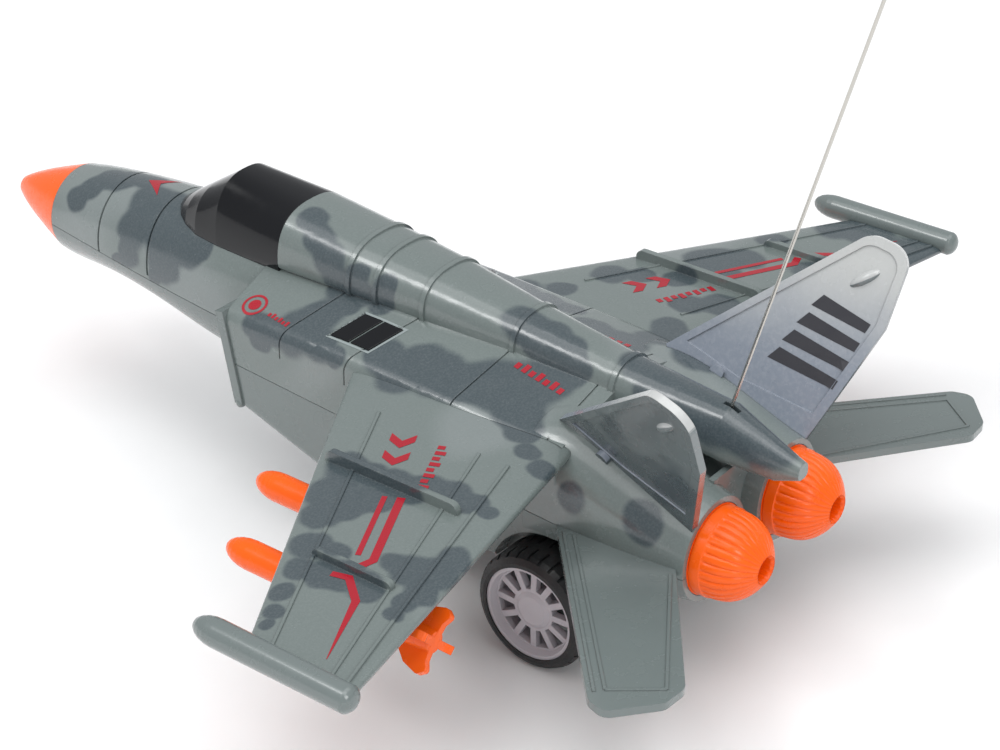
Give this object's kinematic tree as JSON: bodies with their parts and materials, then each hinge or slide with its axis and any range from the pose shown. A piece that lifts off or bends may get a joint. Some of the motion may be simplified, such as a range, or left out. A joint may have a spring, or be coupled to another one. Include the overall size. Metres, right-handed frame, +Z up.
{
  "type": "toy jet plane",
  "caption": "Radio-controlled toy jet plane on wheels, with twin nozzles, twin fins, wing missiles, steerable front wheels, geared rear drive and a rear wire aerial.",
  "frame": {"origin": "on the ground, under the middle of the plane's overall length and width", "axes": "+Z up, nose towards -Y, the plane's left side towards +X"},
  "size_m": [0.3336, 0.3682, 0.2763],
  "materials": {
    "upper_plastic": "glossy moulded plastic with sprayed camouflage",
    "lower_plastic": "unpainted moulded plastic",
    "fin_plastic": "silver-grey sprayed plastic",
    "orange_plastic": "bright glossy plastic",
    "black_plastic": "glossy black plastic",
    "frame_plastic": "dull moulded plastic",
    "rim_plastic": "pale moulded plastic",
    "tyre_rubber": "black rubber with cut tread",
    "gear_plastic": "natural nylon",
    "steel": "bright plated steel",
    "aerial_steel": "bright steel wire",
    "motor_steel": "plated can",
    "brass": "machined",
    "copper": "wound enamelled wire",
    "contact_steel": "sprung plated strip",
    "cell_casing": "printed sleeve over a metal can",
    "board": "circuit board laminate",
    "chip": "moulded package",
    "lamp": "tinted clear bulb"
  },
  "bodies": {
    "airframe": {"aerial_bracket": "frame_plastic", "aerial_pin": "steel", "axle_bushes": "brass", "battery_box": "black_plastic", "battery_cells": "cell_casing", "battery_contacts": "contact_steel", "canopy": "black_plastic", "capacitors": "chip", "control_chip": "chip", "crystal_can": "motor_steel", "gearbox_pins": "steel", "gearbox_plates": "frame_plastic", "left_fin": "fin_plastic", "left_inner_missile": "orange_plastic", "left_intake_frame": "lower_plastic", "left_nozzle": "orange_plastic", "left_outer_missile": "orange_plastic", "left_tailplane": "lower_plastic", "left_wing": "upper_plastic", "left_wingtip_rail": "lower_plastic", "lower_shell": "lower_plastic", "motor_can": "motor_steel", "nose_cone": "orange_plastic", "nozzle_lamps": "lamp", "rear_bulkhead": "lower_plastic", "receiver_board": "board", "right_fin": "fin_plastic", "right_inner_missile": "orange_plastic", "right_intake_frame": "lower_plastic", "right_nozzle": "orange_plastic", "right_outer_missile": "orange_plastic", "right_tailplane": "lower_plastic", "right_wing": "upper_plastic", "right_wingtip_rail": "lower_plastic", "shell_screws": "steel", "steering_bracket": "frame_plastic", "steering_motor": "motor_steel", "switch_body": "black_plastic", "tuning_coil": "copper", "upper_shell": "upper_plastic", "vent_panels": "black_plastic"},
    "rear_wheels": {"rear_axle": "steel", "final_gear": "gear_plastic", "left_rear_rim": "rim_plastic", "right_rear_rim": "rim_plastic", "left_rear_tyre": "tyre_rubber", "right_rear_tyre": "tyre_rubber"},
    "idler": {"idler_gear": "gear_plastic"},
    "motor_rotor": {"motor_pinion": "brass"},
    "steering": {"steering_yoke": "frame_plastic", "steering_gear": "gear_plastic"},
    "steering_rotor": {"steering_pinion": "brass"},
    "front_wheels": {"front_axle": "steel", "front_rims": "rim_plastic", "front_tyres": "tyre_rubber"},
    "battery_lid": {"battery_door": "lower_plastic", "battery_door_screw": "steel"},
    "power_switch": {"switch_slider": "black_plastic"},
    "aerial": {"aerial_wire": "aerial_steel"}
  },
  "joints": [
    {"name": "rear_wheel_spin", "type": "hinge", "parent": "airframe", "child": "rear_wheels", "pos_m": [0, 0.0902, 0.0202], "axis": [1, 0, 0], "continuous": true},
    {"name": "idler_spin", "type": "hinge", "parent": "airframe", "child": "idler", "pos_m": [0, 0.0839, 0.03111], "axis": [1, 0, 0], "continuous": true},
    {"name": "motor_spin", "type": "hinge", "parent": "airframe", "child": "motor_rotor", "pos_m": [0, 0.07949, 0.04292], "axis": [1, 0, 0], "continuous": true},
    {"name": "steering_turn", "type": "hinge", "parent": "airframe", "child": "steering", "pos_m": [0, -0.008, 0.03], "axis": [0, 0, 1], "range_deg": [-20, 20]},
    {"name": "steering_motor_spin", "type": "hinge", "parent": "airframe", "child": "steering_rotor", "pos_m": [0.0115, -0.008, 0.047], "axis": [0, 0, 1], "range_deg": [-73, 73]},
    {"name": "front_wheel_spin", "type": "hinge", "parent": "steering", "child": "front_wheels", "pos_m": [0, -0.008, 0.012], "axis": [1, 0, 0], "continuous": true},
    {"name": "battery_lid_hinge", "type": "hinge", "parent": "airframe", "child": "battery_lid", "pos_m": [0, 0.0104, 0.027], "axis": [-1, 0, 0], "range_deg": [0, 75]},
    {"name": "power_switch_slide", "type": "slide", "parent": "airframe", "child": "power_switch", "axis": [0, 1, 0], "range_m": [0, 0.004]},
    {"name": "aerial_tilt", "type": "hinge", "parent": "airframe", "child": "aerial", "pos_m": [0, 0.1275, 0.082], "axis": [1, 0, 0], "range_deg": [-12, 12]}
  ],
  "couplings": [
    {"joint": "idler_spin", "follows": "rear_wheel_spin", "ratio": -2.5},
    {"joint": "motor_spin", "follows": "rear_wheel_spin", "ratio": 8},
    {"joint": "steering_motor_spin", "follows": "steering_turn", "ratio": -3.6}
  ]
}
